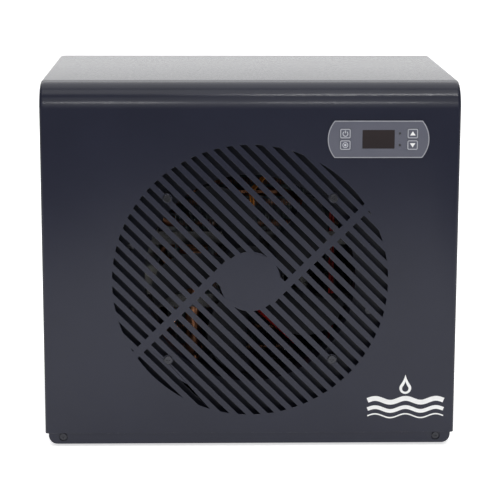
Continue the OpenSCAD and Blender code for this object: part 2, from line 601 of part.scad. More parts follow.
module water_pipe(z) {
    difference() {
        union() {
            ycyl(px, z, spigot_r - 1, ex_y + 58.2, yR - t - 3);
            ycyl(px, z, spigot_r + 0.6, yR - t - 4, yEnd - 30);
            ycyl(px, z, spigot_r, yEnd - 30.1, yEnd);
            ycyl(px, z, spigot_r + 3, yR - t - 4, yR + 0.2);
            ycyl(px, z, spigot_r + 7, yR - t - 4.2, yR - t - 1);
        }
        ycyl(px, z, spigot_bore, ex_y + 50, yEnd + 1);
    }
}
fs_y = ex_y + 104;              // the flow switch's place along the outlet pipe
module water_inlet_pipe() color([0.14, 0.14, 0.15]) water_pipe(inlet_z);
module water_outlet_pipe() color([0.14, 0.14, 0.15]) difference() {
    water_pipe(outlet_z);
    translate([px, fs_y, outlet_z]) cylinder(r = 9, h = 30);
}
module pipe_seals() color(black) for (z = [inlet_z, outlet_z]) difference() {
    ycyl(px, z, spigot_r + 6.5, yR - t - 1, yR - t);
    ycyl(px, z, spigot_r + 3.3, yR - 8, yR + 3);
}
module pipe_lock_nuts() color([0.12, 0.12, 0.13]) for (z = [inlet_z, outlet_z]) difference() {
    translate([px, yR, z]) rotate([-90, 0, 0]) union() {
        cylinder(r = spigot_r + 8, h = 2);
        translate([0, 0, 1.9]) cylinder(r = spigot_r + 7, h = 7, $fn = 8);
    }
    ycyl(px, z, spigot_r + 3.1, yR - 1, yR + 0.4);
    ycyl(px, z, spigot_r + 0.75, yR - 1, yR + 12);
}
module flow_switch_body() color([0.16, 0.2, 0.3]) difference() {
    union() {
        translate([px, fs_y, outlet_z]) cylinder(r = 14, h = 46);
        ycyl(px, outlet_z, spigot_r + 3.5, fs_y - 16, fs_y + 16);
        box(px - 16, px + 16, fs_y - 12, fs_y + 12, outlet_z + 32, outlet_z + 56);
    }
    ycyl(px, outlet_z, spigot_r - 0.9, fs_y - 20, fs_y + 20);
    translate([px, fs_y, outlet_z]) cylinder(r = 9, h = 34);
    translate([px - 12.5, fs_y, outlet_z + 25]) rotate([0, 90, 0]) cylinder(r = 1.3, h = 25);
}
module flow_switch_pin() color([0.75, 0.75, 0.77]) translate([px - 12, fs_y, outlet_z + 25]) rotate([0, 90, 0]) cylinder(r = 1.25, h = 24);
module flow_switch_paddle() color([0.8, 0.8, 0.78]) difference() {
    union() {
        box(px - 4, px + 4, fs_y - 0.7, fs_y + 0.7, outlet_z - 9, outlet_z + 25);
        translate([px - 4, fs_y, outlet_z + 25]) rotate([0, 90, 0]) cylinder(r = 3, h = 8);
    }
    translate([px - 5, fs_y, outlet_z + 25]) rotate([0, 90, 0]) cylinder(r = 1.3, h = 10);
}

// ---------- electrics ----------
eb = [44, 186, yF + 50, yF + 225, 302, 374];
module electrical_box() color([0.72, 0.73, 0.74]) difference() {
    box(eb[0], eb[1], eb[2], eb[3], eb[4], eb[5]);
    box(eb[0] + 1.2, eb[1] - 1.2, eb[2] + 1.2, eb[3] - 1.2, eb[4] + 1.2, eb[5] + 2);
    translate([103, ym + 96, eb[4] - 1]) cylinder(r = 8, h = 4);
    ycyl(gland[0], gland[1], 7, eb[3] - 3, eb[3] + 3);
}
module electrical_box_lid() color([0.72, 0.73, 0.74]) {
    box(eb[0] - 1.4, eb[1] + 1.4, eb[2] - 1.4, eb[3] + 1.4, eb[5], eb[5] + 1.2);
    difference() {
        box(eb[0] - 1.4, eb[1] + 1.4, eb[2] - 1.4, eb[3] + 1.4, eb[5] - 8, eb[5] + 0.5);
        box(eb[0] - 0.2, eb[1] + 0.2, eb[2] - 0.2, eb[3] + 0.2, eb[5] - 9, eb[5]);
    }
}
module control_board() color([0.1, 0.35, 0.2]) {
    z = eb[4] + 8;
    box(eb[0] + 8, eb[1] - 8, eb[2] + 8, eb[3] - 22, z, z + 1.6);
    for (x = [eb[0] + 14, eb[1] - 14], y = [eb[2] + 14, eb[3] - 28]) translate([x, y, eb[4] + 1.2]) cylinder(r = 3, h = z - eb[4] - 1.1);
    for (i = [0 : 3]) box(eb[0] + 16 + 22 * i, eb[0] + 32 + 22 * i, eb[2] + 26, eb[2] + 46, z + 1.5, z + 17);
    box(eb[0] + 20, eb[0] + 64, eb[2] + 60, eb[2] + 96, z + 1.5, z + 32);
    translate([eb[1] - 34, eb[2] + 78, z + 1.5]) cylinder(r = 16, h = 44);
    box(eb[0] + 14, eb[1] - 40, eb[3] - 42, eb[3] - 26, z + 1.5, z + 16);
}
module cable_gland() color(black) difference() {
    union() {
        ycyl(gland[0], gland[1], 7.9, yR - 12, yR + 0.5);
        translate([gland[0], yR, gland[1]]) rotate([-90, 0, 0]) {
            cylinder(r = 11.5, h = 6, $fn = 6);
            translate([0, 0, 5.9]) cylinder(r = 9.5, h = 5);
            translate([0, 0, 10.8]) cylinder(r = 8, h = 5);
        }
        translate([gland[0], yR - t, gland[1]]) rotate([90, 0, 0]) cylinder(r = 11, h = 5, $fn = 6);
    }
    ycyl(gland[0], gland[1], 4.2, yR - 20, yR + 30);
}

// ---------- controller ----------
ybez = yF - 1;                 // front of the rim
module ctl_outline(g) {
    w = ctl_w / 2 - g;
    h = ctl_h / 2 - g;
    R = 29.5 - g;
    c = ctl_w / 2 - 29.5;
    xe = c + sqrt(R * R - h * h);
    translate([-xe, -h]) square([2 * xe, 2 * h]);
    for (s = [-1, 1]) intersection() {
        translate([s * c, 0]) circle(R, $fn = 120);
        translate([s > 0 ? xe - 0.01 : -xe - 20 + 0.01, -h]) square([20, 2 * h]);
    }
}
key_at = [[-34, 5.9], [-34, -5.9], [34.9, 5.9], [34.9, -5.9]];
key_w = 11;
key_h = 10;
module ctl_place() translate([ctl_x, 0, ctl_z]) children();
module controller_bezel() color([0.36, 0.37, 0.41]) ctl_place() difference() {
    union() {
        yslab(yF - 0.7, yF) ctl_outline(0);
        difference() {
            yslab(ybez, yF - 0.6) ctl_outline(0);
            yslab(ybez - 1, yF) ctl_outline(1.1);
        }
    }
    yslab(yF - 3, yF + 1) for (k = key_at) translate(k) rsquare(-key_w / 2 - 0.2, key_w / 2 + 0.2, -key_h / 2 - 0.2, key_h / 2 + 0.2, 1.8);
    yslab(yF - 3, yF + 1) translate([-16.5, -9.6]) square([33, 19.2]);
    for (z = [6, -6]) ycyl(21.8, z, 1.3, yF - 3, yF + 1);
}
module display_window() color([0.1, 0.08, 0.09]) ctl_place()
    yslab(yF - 0.65, yF + 0.25) rsquare(-16.4, 16.4, -9.5, 9.5, 0.4);
module controller_housing() color([0.1, 0.1, 0.11]) ctl_place() {
    difference() {
        box(-cut_w / 2 + 0.2, cut_w / 2 - 0.2, yF + 0.05, yF + 26, -cut_h / 2 + 0.2, cut_h / 2 - 0.2);
        box(-cut_w / 2 + 2, cut_w / 2 - 2, yF - 1, yF + 24, -cut_h / 2 + 2, cut_h / 2 - 2);
    }
    box(-cut_w / 2 + 2, cut_w / 2 - 2, yF + 6, yF + 7.6, -cut_h / 2 + 2, cut_h / 2 - 2);
    for (k = key_at) box(k[0] - 2.5, k[0] + 2.5, yF + 3.4, yF + 6, k[1] - 2.5, k[1] + 2.5);
    box(-16.3, 16.3, yF + 0.3, yF + 6, -9.4, 9.4);
    for (z = [6, -6]) ycyl(21.8, z, 1.2, yF - 0.4, yF + 6);
}
module key(i) color([0.33, 0.34, 0.38]) ctl_place() {
    k = key_at[i];
    yslab(yF - 1.1, yF - 0.1) translate(k) rsquare(-key_w / 2, key_w / 2, -key_h / 2, key_h / 2, 1.6);
    ycyl(k[0], k[1], 1.6, yF - 0.2, yF + 3.4 - key_travel - 0.15);
}
module key_power() key(0);
module key_mode() key(1);
module key_up() key(2);
module key_down() key(3);

front_top_cover();
base_pan();
left_side_panel();
right_side_panel();
rear_panel();
rear_coil_guard();
rubber_feet();
left_handle_cup();
right_handle_cup();
terminal_cover();
cover_clips();
case_screws();
fan_shroud();
shroud_standoffs();
shroud_screws();
fan_motor_bracket();
fan_motor();
fan_motor_screws();
fan_shaft();
fan_impeller();
fan_hub_nut();
fan_motor_lead_red();
fan_motor_lead_orange();
compressor_shell();
compressor_accumulator();
compressor_mount_plate();
compressor_grommets();
compressor_studs();
compressor_terminal_cap();
discharge_pipe();
suction_pipe();
liquid_pipe();
filter_drier();
capillary_coil();
high_pressure_switch();
evaporator_fins();
evaporator_tubes();
evaporator_end_plates();
exchanger_shell();
exchanger_end_caps();
exchanger_titanium_coil();
exchanger_bracket();
water_inlet_pipe();
water_outlet_pipe();
pipe_seals();
pipe_lock_nuts();
flow_switch_body();
flow_switch_paddle();
flow_switch_pin();
electrical_box();
electrical_box_lid();
control_board();
cable_gland();
controller_bezel();
display_window();
controller_housing();
key_power();
key_mode();
key_up();
key_down();
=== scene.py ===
import json
import math

import bmesh
import bpy
from mathutils import Matrix, Vector


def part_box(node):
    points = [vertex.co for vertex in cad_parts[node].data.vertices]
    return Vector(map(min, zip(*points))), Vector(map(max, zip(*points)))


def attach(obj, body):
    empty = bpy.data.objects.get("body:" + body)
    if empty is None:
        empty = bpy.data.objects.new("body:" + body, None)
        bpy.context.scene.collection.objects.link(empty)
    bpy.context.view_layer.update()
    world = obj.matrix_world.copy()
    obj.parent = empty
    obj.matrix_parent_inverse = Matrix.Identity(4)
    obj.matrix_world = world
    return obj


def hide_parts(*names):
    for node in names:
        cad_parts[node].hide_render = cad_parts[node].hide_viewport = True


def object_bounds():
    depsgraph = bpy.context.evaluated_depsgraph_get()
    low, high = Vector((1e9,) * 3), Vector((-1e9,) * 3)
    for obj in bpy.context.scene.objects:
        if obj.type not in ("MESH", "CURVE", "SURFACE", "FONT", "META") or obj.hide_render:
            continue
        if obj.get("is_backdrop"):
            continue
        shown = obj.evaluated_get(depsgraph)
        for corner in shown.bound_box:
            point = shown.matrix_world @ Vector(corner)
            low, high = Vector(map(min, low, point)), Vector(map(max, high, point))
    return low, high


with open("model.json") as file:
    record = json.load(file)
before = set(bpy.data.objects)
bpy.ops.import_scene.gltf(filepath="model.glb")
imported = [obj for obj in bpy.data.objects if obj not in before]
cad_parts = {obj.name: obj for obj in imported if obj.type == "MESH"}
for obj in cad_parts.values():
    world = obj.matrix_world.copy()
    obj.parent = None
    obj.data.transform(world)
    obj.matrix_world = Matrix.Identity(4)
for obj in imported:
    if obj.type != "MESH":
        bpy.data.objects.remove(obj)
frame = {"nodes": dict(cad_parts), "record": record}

CAD_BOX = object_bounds()
NODES = frame["nodes"]
BODY_OF = {n: b for b, ns in frame["record"]["behaviour"]["bodies"].items() for n in ns}
SLOT_OF = {s["node"]: s["material_slot"] for s in frame["record"]["subparts"]}
MM = 0.001
scene = bpy.context.scene
scene.view_settings.view_transform = "Standard"

cover_lo, cover_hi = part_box("front_top_cover")
pan_lo, pan_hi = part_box("base_pan")
YF = cover_lo.y                    # front face of the cover
Z0 = pan_lo.z                      # underside of the base pan
ZT = cover_hi.z
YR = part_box("rear_panel")[1].y     # outer face of the rear panel


# ------------------------------------------------------------------ camera, first
def camera():
    cam = bpy.data.cameras.new("camera")
    ob = bpy.data.objects.new("camera", cam)
    scene.collection.objects.link(ob)
    yaw, pitch, roll = -0.0241, 0.2002, -0.0028
    right0 = Vector((math.cos(yaw), math.sin(yaw), 0))
    fwd = Vector((-math.sin(yaw) * math.cos(pitch), math.cos(yaw) * math.cos(pitch), -math.sin(pitch)))
    up0 = right0.cross(fwd)
    right = math.cos(roll) * right0 - math.sin(roll) * up0
    up = math.sin(roll) * right0 + math.cos(roll) * up0
    loc = Vector((-0.04564, YF - 1.87756, Z0 + 0.58911))
    m = Matrix((
        (right.x, up.x, -fwd.x, loc.x),
        (right.y, up.y, -fwd.y, loc.y),
        (right.z, up.z, -fwd.z, loc.z),
        (0, 0, 0, 1)))
    ob.matrix_world = m
    cam.sensor_width = 36
    cam.lens = 1857.2 / 500 * 36
    cam.clip_start, cam.clip_end = 0.05, 60
    scene.camera = ob


camera()


# ------------------------------------------------------------------ materials
class Mat:
    """A small builder for node materials: everything works in the piece's own coordinates, in metres."""

    def __init__(self, name, color, rough=0.5, metal=0.0, spec=0.5, coat=0.0, coat_rough=0.1, ior=1.5):
        self.m = bpy.data.materials.new(name)
        self.m.use_nodes = True
        self.nt = self.m.node_tree
        self.nt.nodes.clear()
        self.out = self.nt.nodes.new("ShaderNodeOutputMaterial")
        self.p = self.nt.nodes.new("ShaderNodeBsdfPrincipled")
        self.nt.links.new(self.p.outputs[0], self.out.inputs[0])
        self.p.inputs["Base Color"].default_value = (*color, 1)
        self.p.inputs["Roughness"].default_value = rough
        self.p.inputs["Metallic"].default_value = metal
        self.p.inputs["Specular IOR Level"].default_value = spec
        self.p.inputs["Coat Weight"].default_value = coat
        self.p.inputs["Coat Roughness"].default_value = coat_rough
        self.p.inputs["IOR"].default_value = ior
        self.color, self.rough = color, rough
        self.tc = self.nt.nodes.new("ShaderNodeTexCoord").outputs["Object"]
        self.normal = None

    def n(self, kind, **inputs):
        node = self.nt.nodes.new(kind)
        for k, v in inputs.items():
            key = k.replace("_", " ")
            if key in node.inputs:
                if isinstance(v, bpy.types.NodeSocket):
                    self.nt.links.new(v, node.inputs[key])
                else:
                    node.inputs[key].default_value = v
            else:
                setattr(node, k, v)
        return node

    def link(self, a, b):
        self.nt.links.new(a, b)

    def noise(self, scale, detail=2.0, rough=0.5, stretch=None):
        vec = self.tc
        if stretch:
            mp = self.n("ShaderNodeMapping", Vector=self.tc, Scale=stretch)
            vec = mp.outputs[0]
        return self.n("ShaderNodeTexNoise", Vector=vec, Scale=scale, Detail=detail, Roughness=rough).outputs["Fac"]

    def remap(self, fac, a, b, lo=0.0, hi=1.0):
        r = self.n("ShaderNodeMapRange")
        self.link(fac, r.inputs["Value"])
        for k, v in (("From Min", lo), ("From Max", hi), ("To Min", a), ("To Max", b)):
            r.inputs[k].default_value = v
        return r.outputs[0]

    def vary_color(self, fac, dark, light):
        ramp = self.n("ShaderNodeValToRGB")
        self.link(fac, ramp.inputs[0])
        ramp.color_ramp.elements[0].position = 0.3
        ramp.color_ramp.elements[1].position = 0.7
        ramp.color_ramp.elements[0].color = (*[c * dark for c in self.color], 1)
        ramp.color_ramp.elements[1].color = (*[min(1, c * light) for c in self.color], 1)
        self.col = ramp.outputs[0]
        self.link(self.col, self.p.inputs["Base Color"])
        return self

    def mix_color(self, fac, other):
        mx = self.n("ShaderNodeMix", data_type="RGBA")
        self.link(fac, mx.inputs[0])
        if hasattr(self, "col"):
            self.link(self.col, mx.inputs[6])
        else:
            mx.inputs[6].default_value = (*self.color, 1)
        mx.inputs[7].default_value = (*other, 1)
        self.col = mx.outputs[2]
        self.link(self.col, self.p.inputs["Base Color"])
        return self

    def vary_rough(self, fac, a, b):
        self.link(self.remap(fac, a, b, 0.3, 0.7), self.p.inputs["Roughness"])
        return self

    def bump(self, height, dist, strength=1.0):
        b = self.n("ShaderNodeBump")
        b.inputs["Strength"].default_value = strength
        b.inputs["Distance"].default_value = dist
        self.link(height, b.inputs["Height"])
        if self.normal is not None:
            self.link(self.normal, b.inputs["Normal"])
        self.normal = b.outputs[0]
        self.link(self.normal, self.p.inputs["Normal"])
        return self

    def edge_mask(self, radius, lo=0.02, hi=0.25):
        """Where the surface turns within radius: 1 on an edge and 0 on a flat."""
        bev = self.n("ShaderNodeBevel", samples=4)
        bev.inputs["Radius"].default_value = radius
        geo = self.n("ShaderNodeNewGeometry")
        dot = self.n("ShaderNodeVectorMath", operation="DOT_PRODUCT")
        self.link(bev.outputs[0], dot.inputs[0])
        self.link(geo.outputs["Normal"], dot.inputs[1])
        inv = self.n("ShaderNodeMath", operation="SUBTRACT")
        inv.inputs[0].default_value = 1.0
        self.link(dot.outputs["Value"], inv.inputs[1])
        return self.remap(inv.outputs[0], 0.0, 1.0, lo, hi)

    def times(self, a, b):
        m = self.n("ShaderNodeMath", operation="MULTIPLY", use_clamp=True)
        for k, v in ((0, a), (1, b)):
            if isinstance(v, bpy.types.NodeSocket):
                self.link(v, m.inputs[k])
            else:
                m.inputs[k].default_value = v
        return m.outputs[0]


def powder(name, color, rough=0.3, wear=0.5, spec=0.5):
    """Fine-textured semi-gloss powder coat: orange peel, tiny pits and worn edges."""
    m = Mat(name, color, rough, spec=spec)
    big = m.noise(9, 3, 0.55)
    m.vary_color(big, 0.93, 1.08)
    fleck = m.noise(2600, 1, 0.5)
    m.mix_color(m.times(m.remap(fleck, 0, 1, 0.62, 0.78), 0.35), [c * 1.9 + 0.004 for c in color])
    worn = m.times(m.edge_mask(0.0009), m.remap(m.noise(160, 3, 0.6), 0, 1, 0.42, 0.66))
    m.mix_color(m.times(worn, wear), [0.16, 0.16, 0.17])
    m.vary_rough(m.noise(300, 3, 0.5), rough - 0.02, rough + 0.03)
    m.bump(m.noise(700, 2, 0.5), 0.000002, 0.5)
    m.bump(m.noise(2600, 1, 0.5), 0.000003, 0.4)
    return m.m


def moulded(name, color, rough=0.55, grain=900, depth=0.00004, spec=0.45):
    """Moulded plastic with a fine spark-eroded grain."""
    m = Mat(name, color, rough, spec=spec)
    m.vary_color(m.noise(14, 3), 0.9, 1.12)
    m.vary_rough(m.noise(60, 2), rough - 0.06, rough + 0.06)
    m.bump(m.noise(grain, 3, 0.6), depth, 0.7)
    rub = m.times(m.edge_mask(0.0006), m.remap(m.noise(220, 2), 0, 1, 0.4, 0.7))
    m.mix_color(m.times(rub, 0.35), [min(1, c * 2.2 + 0.02) for c in color])
    return m.m


def metal(name, color, rough=0.3, lines=None, tint=None, scratch=0.4):
    m = Mat(name, color, rough, metal=1.0)
    m.vary_color(m.noise(45, 4, 0.6), 0.84, 1.08)
    if tint:
        m.mix_color(m.times(m.remap(m.noise(28, 3), 0, 1, 0.45, 0.7), 0.5), tint)
    m.vary_rough(m.noise(120, 4, 0.6), max(0.05, rough - 0.09), rough + 0.12)
    if lines:
        m.bump(m.noise(700, 2, 0.5, stretch=lines), 0.00002, scratch)
    else:
        m.bump(m.noise(800, 3, 0.6), 0.00002, scratch)
    return m.m


def galvanised(name):
    m = Mat(name, (0.52, 0.54, 0.56), 0.38, metal=1.0)
    v = m.n("ShaderNodeTexVoronoi", Vector=m.tc, Scale=170.0)
    m.vary_color(v.outputs["Color"], 0.78, 1.15)
    m.vary_rough(m.noise(200, 3), 0.3, 0.5)
    m.bump(m.noise(500, 2), 0.00002, 0.4)
    return m.m


def copper(name):
    m = Mat(name, (0.72, 0.33, 0.18), 0.26, metal=1.0)
    m.vary_color(m.noise(30, 4, 0.6), 0.7, 1.12)
    m.mix_color(m.times(m.remap(m.noise(55, 4, 0.65), 0, 1, 0.52, 0.7), 0.6), (0.22, 0.09, 0.05))
    m.vary_rough(m.noise(90, 3), 0.2, 0.45)
    m.bump(m.noise(900, 2), 0.00001, 0.4)
    return m.m


def rubber(name):
    m = Mat(name, (0.022, 0.022, 0.023), 0.78, spec=0.3)
    m.vary_color(m.noise(60, 4, 0.6), 0.75, 1.5)
    m.bump(m.noise(1400, 3, 0.7), 0.00004, 0.8)
    m.vary_rough(m.noise(80, 3), 0.68, 0.88)
    return m.m


def insulation(name, color):
    m = Mat(name, color, 0.34, spec=0.5)
    m.vary_color(m.noise(120, 2), 0.85, 1.1)
    m.bump(m.noise(600, 2), 0.00002, 0.4)
    return m.m


def film(name, color, rough=0.36):
    """Polyester overlay film: a faint even texture and a slight sheen."""
    m = Mat(name, color, rough, spec=0.5)
    m.vary_color(m.noise(25, 2), 0.95, 1.06)
    m.mix_color(m.times(m.remap(m.noise(3200, 1), 0, 1, 0.55, 0.75), 0.25), [min(1, c * 1.5) for c in color])
    m.vary_rough(m.noise(60, 2), rough - 0.05, rough + 0.05)
    m.bump(m.noise(2800, 1), 0.000015, 0.6)
    return m.m


def ink(name, color, rough=0.45):
    """Screen-printed ink, a little uneven in its cover."""
    m = Mat(name, color, rough, spec=0.4)
    m.vary_color(m.noise(140, 3, 0.6), 0.93, 1.02)
    m.mix_color(m.times(m.remap(m.noise(2000, 2, 0.6), 0, 1, 0.66, 0.8), 0.3), [c * 0.6 for c in color])
    m.bump(m.noise(2600, 2), 0.00001, 0.5)
    return m.m


def glassy(name, color):
    m = Mat(name, color, 0.07, spec=0.55, coat=0.4, coat_rough=0.04)
    m.vary_color(m.noise(12, 2), 0.85, 1.2)
    m.vary_rough(m.noise(70, 4, 0.6), 0.05, 0.13)
    return m.m


def board(name):
    m = Mat(name, (0.02, 0.11, 0.05), 0.35)
    br = m.n("ShaderNodeTexBrick", Vector=m.tc, Scale=140.0)
    br.inputs["Color1"].default_value = (0.02, 0.12, 0.05, 1)
    br.inputs["Color2"].default_value = (0.015, 0.09, 0.04, 1)
    br.inputs["Mortar"].default_value = (0.05, 0.22, 0.09, 1)
    m.link(br.outputs["Color"], m.p.inputs["Base Color"])
    m.bump(m.noise(900, 2), 0.00002, 0.4)
    return m.m


FRONT = (0.0167, 0.0182, 0.0312)
M = {
    "dark_powder_coat": powder("powder_coat_anthracite", FRONT, 0.20, spec=0.28),
    # the shroud has the cabinet's own paint; its colour is drawn darker than FRONT as painted shade behind the grille
    "shroud_coat": powder("powder_coat_shroud_painted_shade", (0.0070, 0.0078, 0.0130), 0.30, spec=0.16),
    "guard_coat": moulded("guard_plastic_coat", (0.02, 0.02, 0.024), 0.4, 500, 0.00003),
    "rubber": rubber("rubber_black"),
    "moulded_black": moulded("moulded_black", (0.022, 0.022, 0.026), 0.52),
    # black plastic, its colour drawn darker still as painted shade inside the cabinet
    "fan_plastic": moulded("fan_black_and_painted_shade", (0.0085, 0.0090, 0.0125), 0.5, 500, 0.00005, 0.16),
    "zinc_plated": metal("zinc_plated", (0.62, 0.62, 0.6), 0.3, tint=(0.55, 0.58, 0.66)),
    "black_screws": metal("black_zinc", (0.050, 0.051, 0.058), 0.24),
    "galvanised": galvanised("galvanised_sheet"),
    "motor_paint": moulded("gloss_black_paint", (0.012, 0.012, 0.013), 0.25, 300, 0.00005, 0.5),
    "steel_shaft": metal("ground_steel", (0.6, 0.6, 0.6), 0.18, lines=(1, 40, 1)),
    "red_lead": insulation("red_insulation", (0.45, 0.02, 0.012)),
    "orange_lead": insulation("orange_insulation", (0.62, 0.20, 0.01)),
    "copper": copper("drawn_copper"),
    "brass": metal("turned_brass", (0.68, 0.48, 0.18), 0.24, lines=(1, 1, 30)),
    "aluminium_fin": metal("fin_foil", (0.72, 0.75, 0.78), 0.32, lines=(1, 30, 1)),
    "white_pvc": moulded("white_pvc", (0.62, 0.62, 0.58), 0.4, 300, 0.00003),
    "grey_pvc": moulded("grey_pvc", (0.045, 0.047, 0.052), 0.42, 260, 0.00004),
    "titanium": metal("titanium", (0.36, 0.34, 0.32), 0.34, lines=(1, 1, 20)),
    "switch_plastic": moulded("switch_plastic", (0.03, 0.06, 0.14), 0.45),
    "board_green": board("solder_mask"),
    "panel_grey": film("panel_film", (0.090, 0.093, 0.122)),
    "key_grey": film("key_film", (0.082, 0.085, 0.112)),
    "display_smoke": glassy("display_lens", (0.030, 0.024, 0.025)),
}
WHITE_INK = ink("white_ink", (0.80, 0.80, 0.80))
LIGHT_INK = ink("light_ink", (0.36, 0.37, 0.41))
ICON_INK = ink("icon_ink", (0.50, 0.51, 0.56))

for name, ob in NODES.items():
    ob.data.materials.clear()
    ob.data.materials.append(M[SLOT_OF[name]])


# ------------------------------------------------------------------ pieces
def settle(ob, mat, body, node=None):
    ob.data.materials.clear()
    ob.data.materials.append(mat)
    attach(ob, body)
    if node:
        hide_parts(*([node] if isinstance(node, str) else node))
    return ob


def object_of(name, bm):
    me = bpy.data.meshes.new(name)
    bm.to_mesh(me)
    bm.free()
    ob = bpy.data.objects.new(name, me)
    scene.collection.objects.link(ob)
    return ob


def sharpen(bm, degrees):
    """Smooth faces, with the edges that turn more than this marked sharp."""
    limit = math.radians(degrees)
    for f in bm.faces:
        f.smooth = True
    for e in bm.edges:
        e.smooth = not (len(e.link_faces) != 2 or e.calc_face_angle(0) > limit)


def refine(node, bevel=0.00018, seg=2, angle=32, where=None, name=None, levels=0):
    """A finished copy of a CAD node: one welded skin, smooth over its curves, its edges broken by a small round."""
    src = NODES[node]
    bm = bmesh.new()
    bm.from_mesh(src.data)
    bmesh.ops.remove_doubles(bm, verts=bm.verts, dist=3e-6)
    for layer in list(bm.loops.layers.uv):
        bm.loops.layers.uv.remove(layer)
    sharpen(bm, angle)
    if where:
        bw = bm.edges.layers.float.new("bevel_weight_edge")
        for e in bm.edges:
            if not e.smooth and where(e):
                e[bw] = 1.0
    if levels:
        cr = bm.edges.layers.float.new("crease_edge")
        for e in bm.edges:
            if not e.smooth:
                e[cr] = 1.0
    ob = object_of(name or node + "_finished", bm)
    a = ob.data.attributes.get("custom_normal")
    if a:
        ob.data.attributes.remove(a)
    if bevel:
        b = ob.modifiers.new("edge", "BEVEL")
        b.width = bevel
        b.segments = seg
        b.use_clamp_overlap = False
        b.harden_normals = True
        b.limit_method = "WEIGHT" if where else "ANGLE"
        b.angle_limit = math.radians(angle)
        b.miter_outer = "MITER_ARC"
    if levels:
        s = ob.modifiers.new("round", "SUBSURF")
        s.levels = s.render_levels = levels
    return settle(ob, M[SLOT_OF[node]], BODY_OF[node], node)


def _rim(e, r):
    """Whether an edge lies on the outside of a round head of radius r: it is short and far from any other head's middle."""
    return e.calc_length() < r * 0.6 and all(_far(v.co, r) for v in e.verts)


def _far(co, r):
    return min(math.hypot(co.x - x, co.z - z) for x, z in HEADS) > r * 0.93


def heads(node, gap=0.004):
    """The middles of the screws in a node, from its separate solids, seen along Y."""
    bm = bmesh.new()
    bm.from_mesh(NODES[node].data)
    bmesh.ops.remove_doubles(bm, verts=bm.verts, dist=3e-6)
    seen, found = set(), []
    for v in bm.verts:
        if v.index in seen:
            continue
        stack, island = [v], []
        while stack:
            w = stack.pop()
            if w.index in seen:
                continue
            seen.add(w.index)
            island.append(w.co.copy())
            stack += [e.other_vert(w) for e in w.link_edges]
        xs, zs = [c.x for c in island], [c.z for c in island]
        found.append(((min(xs) + max(xs)) / 2, (min(zs) + max(zs)) / 2))
    bm.free()
    return found


# sheet metal and mouldings with their edges broken
refine("front_top_cover", 0.00016)
refine("base_pan", 0.0002)
for n in ("left_side_panel", "right_side_panel", "rear_panel", "terminal_cover", "fan_shroud"):
    refine(n, 0.00016)
for n in ("left_handle_cup", "right_handle_cup"):
    refine(n, 0.0005, 3)
refine("rubber_feet", 0.0008, 3)
refine("controller_bezel", 0.00012)
for n in ("key_power", "key_mode", "key_up", "key_down"):
    refine(n, 0.00022, 3, where=lambda e: min(v.co.y for v in e.verts) < YF - 0.00105)
refine("pipe_lock_nuts", 0.0007, 3)
refine("cable_gland", 0.0004, 2)
for n in ("water_inlet_pipe", "water_outlet_pipe"):
    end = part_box(n)[1].y
    refine(n, 0.0009, 3, where=lambda e, end=end: min(v.co.y for v in e.verts) > end - 0.0002)
front_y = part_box("shroud_screws")[0].y
HEADS = heads("shroud_screws")
refine("shroud_screws", 0.0006, 4, where=lambda e: max(v.co.y for v in e.verts) < front_y + 1e-5 and _rim(e, 0.0043))


def flat(name, loops, y0, y1, mat, body, place=(0, 0), parent_to=None):
    """A thin solid from closed outlines in X and Z (the outer one first, then holes), between y0 and y1."""
    cu = bpy.data.curves.new(name, "CURVE")
    cu.dimensions, cu.fill_mode = "2D", "BOTH"
    for loop in loops:
        sp = cu.splines.new("POLY")
        sp.points.add(len(loop) - 1)
        for p, (x, z) in zip(sp.points, loop):
            p.co = (x, z, 0, 1)
        sp.use_cyclic_u = True
    cu.extrude = (y1 - y0) / 2
    tmp = bpy.data.objects.new(name + "_outline", cu)
    scene.collection.objects.link(tmp)
    dg = bpy.context.evaluated_depsgraph_get()
    me = bpy.data.meshes.new_from_object(tmp.evaluated_get(dg))
    bpy.data.objects.remove(tmp)
    for v in me.vertices:
        x, z, d = v.co
        v.co = (x + place[0], (y0 + y1) / 2 + d, z + place[1])
    bm = bmesh.new()
    bm.from_mesh(me)
    bmesh.ops.remove_doubles(bm, verts=bm.verts, dist=1e-7)
    bmesh.ops.recalc_face_normals(bm, faces=bm.faces)
    bm.to_mesh(me)
    bm.free()
    me.name = name
    ob = bpy.data.objects.new(name, me)
    scene.collection.objects.link(ob)
    return settle(ob, mat, body)


def arc(cx, cz, r, a0, a1, n=24):
    return [(cx + r * math.cos(math.radians(a0 + (a1 - a0) * i / n)), cz + r * math.sin(math.radians(a0 + (a1 - a0) * i / n)))
            for i in range(n + 1)]


def circle(cx, cz, r, n=64):
    return arc(cx, cz, r, 0, 360, n)[:-1]


def rrect(w, h, r, cx=0.0, cz=0.0, n=6):
    out = []
    for sx, sz, a in ((1, 1, 0), (-1, 1, 90), (-1, -1, 180), (1, -1, 270)):
        out += arc(cx + sx * (w / 2 - r), cz + sz * (h / 2 - r), r, a, a + 90, n)
    return out


def stroke(path, w0, w1=None):
    """A ribbon along a path, its width going from w0 to w1, as one outline."""
    w1 = w0 if w1 is None else w1
    n = len(path)
    left, right = [], []
    for i, (x, z) in enumerate(path):
        a, b = path[max(0, i - 1)], path[min(n - 1, i + 1)]
        dx, dz = b[0] - a[0], b[1] - a[1]
        k = math.hypot(dx, dz)
        w = (w0 + (w1 - w0) * i / (n - 1)) / 2
        left.append((x - dz / k * w, z + dx / k * w))
        right.append((x + dz / k * w, z - dx / k * w))
    return left + right[::-1]


# ------------------------------------------------------------------ controller: rim, window border, key prints
bez_lo, bez_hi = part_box("controller_bezel")
CX, CZ = (bez_lo.x + bez_hi.x) / 2, (bez_lo.z + bez_hi.z) / 2
face = bez_lo.y + 0.0004          # plate of the bezel, behind its raised rim


